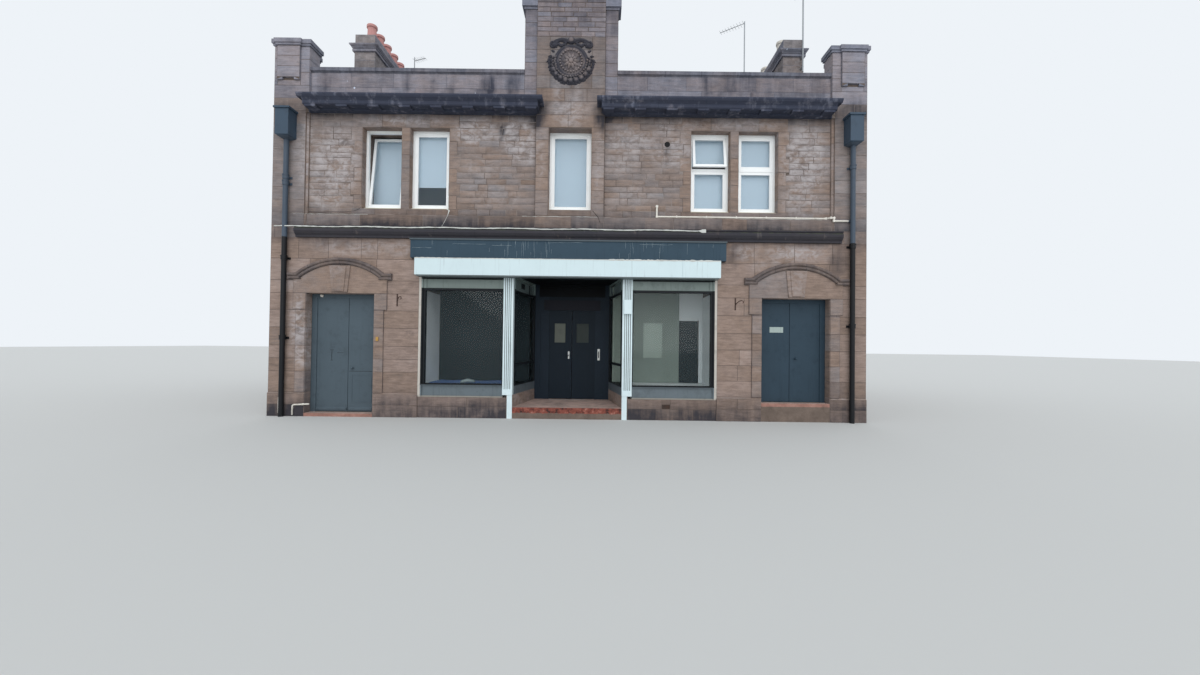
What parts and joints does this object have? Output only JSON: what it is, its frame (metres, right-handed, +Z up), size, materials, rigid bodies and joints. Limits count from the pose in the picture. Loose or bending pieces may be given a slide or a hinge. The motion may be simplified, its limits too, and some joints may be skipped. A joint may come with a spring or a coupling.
{
  "type": "corner shop building",
  "caption": "Two-storey sandstone shop building with a recessed shopfront, paired side doors, parapet with a raised middle block, slated roof and gable chimneys; the doors open.",
  "frame": {"origin": "middle of the footprint's box, at the lowest point where the walls meet the ground", "axes": "+X to the right along the street front, +Y into the building, +Z up"},
  "size_m": [12.936, 9.39, 11.85],
  "materials": {
    "ashlar_stone": "weathered dressed sandstone, fine grain, joints worn",
    "rubble_stone": "coursed squared sandstone rubble with patchy bleaching",
    "sooty_stone": "soot-blackened sandstone with moss on the upper faces",
    "slate": "split grey-blue roofing slate",
    "lead": "dull weathered lead",
    "terracotta": "unglazed fired clay, smoke-stained rims",
    "floor": "plain screeded floor",
    "timber_floor": "boarded floor",
    "plaster": "painted plaster ceiling",
    "white_frame": "white window profile, slightly dirty",
    "window_pane": "double glazing",
    "pale_paint": "pale grey paint over fluted cladding, streaked",
    "shop_pane": "single plate glass",
    "navy_paint": "dark navy gloss paint",
    "soffit_paint": "grey painted boards",
    "grey_fascia_paint": "blue-grey painted board with white drips",
    "white_fascia_paint": "white fascia, dirty along the top edge",
    "white_board": "white painted display boards",
    "left_door_paint": "grey paint, scratched",
    "right_door_paint": "slate grey paint, worn at the edges",
    "step_stone": "red painted stone worn through to the stone",
    "pipe_paint": "dark painted cast iron, rust at the joints",
    "waste_plastic": "white plastic pipe",
    "aerial_metal": "dull aluminium tube"
  },
  "bodies": {
    "building": {"front_pier_left": "ashlar_stone", "front_pier_right": "ashlar_stone", "side_door_lintels": "ashlar_stone", "wall_left_of_shop": "ashlar_stone", "wall_right_of_shop": "ashlar_stone", "shop_beam": "ashlar_stone", "stall_riser_left": "ashlar_stone", "stall_riser_right": "ashlar_stone", "string_course": "ashlar_stone", "upper_wall_left": "rubble_stone", "upper_wall_centre": "ashlar_stone", "upper_wall_right": "rubble_stone", "cornice": "sooty_stone", "parapet_walls": "sooty_stone", "parapet_piers": "ashlar_stone", "centre_block": "ashlar_stone", "crest": "sooty_stone", "hood_moulds": "ashlar_stone", "gable_left": "rubble_stone", "gable_right": "rubble_stone", "rear_wall": "rubble_stone", "chimney_stacks": "sooty_stone", "chimney_pots": "terracotta", "roof_front": "slate", "roof_rear": "slate", "roof_ridge": "lead", "parapet_gutter": "lead", "rear_rainwater": "pipe_paint", "ground_floor": "floor", "first_floor": "timber_floor", "upper_ceiling": "plaster", "window_frames": "white_frame", "window_glass": "window_pane", "shop_posts": "pale_paint", "shop_frames": "pale_paint", "shop_glass": "shop_pane", "lobby_screen": "navy_paint", "lobby_soffit": "soffit_paint", "grey_fascia": "grey_fascia_paint", "white_fascia": "white_fascia_paint", "display_beds": "white_board", "side_door_frames": "right_door_paint", "door_steps": "step_stone", "downpipes": "pipe_paint", "waste_pipe": "waste_plastic", "aerials": "aerial_metal"},
    "left_door_leaf_a": {"left_door_leaf_a": "left_door_paint"},
    "left_door_leaf_b": {"left_door_leaf_b": "left_door_paint"},
    "right_door_leaf_a": {"right_door_leaf_a": "right_door_paint"},
    "right_door_leaf_b": {"right_door_leaf_b": "right_door_paint"},
    "shop_door_leaf_a": {"shop_door_leaf_a": "navy_paint"},
    "shop_door_leaf_b": {"shop_door_leaf_b": "navy_paint"}
  },
  "joints": [
    {"name": "left_door_a_hinge", "type": "hinge", "parent": "building", "child": "left_door_leaf_a", "pos_m": [-5.4785, -4.077, 1.3], "axis": [0, 0, 1], "range_deg": [0, 90]},
    {"name": "left_door_b_hinge", "type": "hinge", "parent": "building", "child": "left_door_leaf_b", "pos_m": [-4.2265, -4.077, 1.3], "axis": [0, 0, -1], "range_deg": [0, 90]},
    {"name": "right_door_a_hinge", "type": "hinge", "parent": "building", "child": "right_door_leaf_a", "pos_m": [4.2215, -4.077, 1.3], "axis": [0, 0, 1], "range_deg": [0, 90]},
    {"name": "right_door_b_hinge", "type": "hinge", "parent": "building", "child": "right_door_leaf_b", "pos_m": [5.4835, -4.077, 1.3], "axis": [0, 0, -1], "range_deg": [0, 90]},
    {"name": "shop_door_a_hinge", "type": "hinge", "parent": "building", "child": "shop_door_leaf_a", "pos_m": [-0.5735, -2.772, 1.3], "axis": [0, 0, 1], "range_deg": [0, 90]},
    {"name": "shop_door_b_hinge", "type": "hinge", "parent": "building", "child": "shop_door_leaf_b", "pos_m": [0.5735, -2.772, 1.3], "axis": [0, 0, -1], "range_deg": [0, 90]}
  ]
}
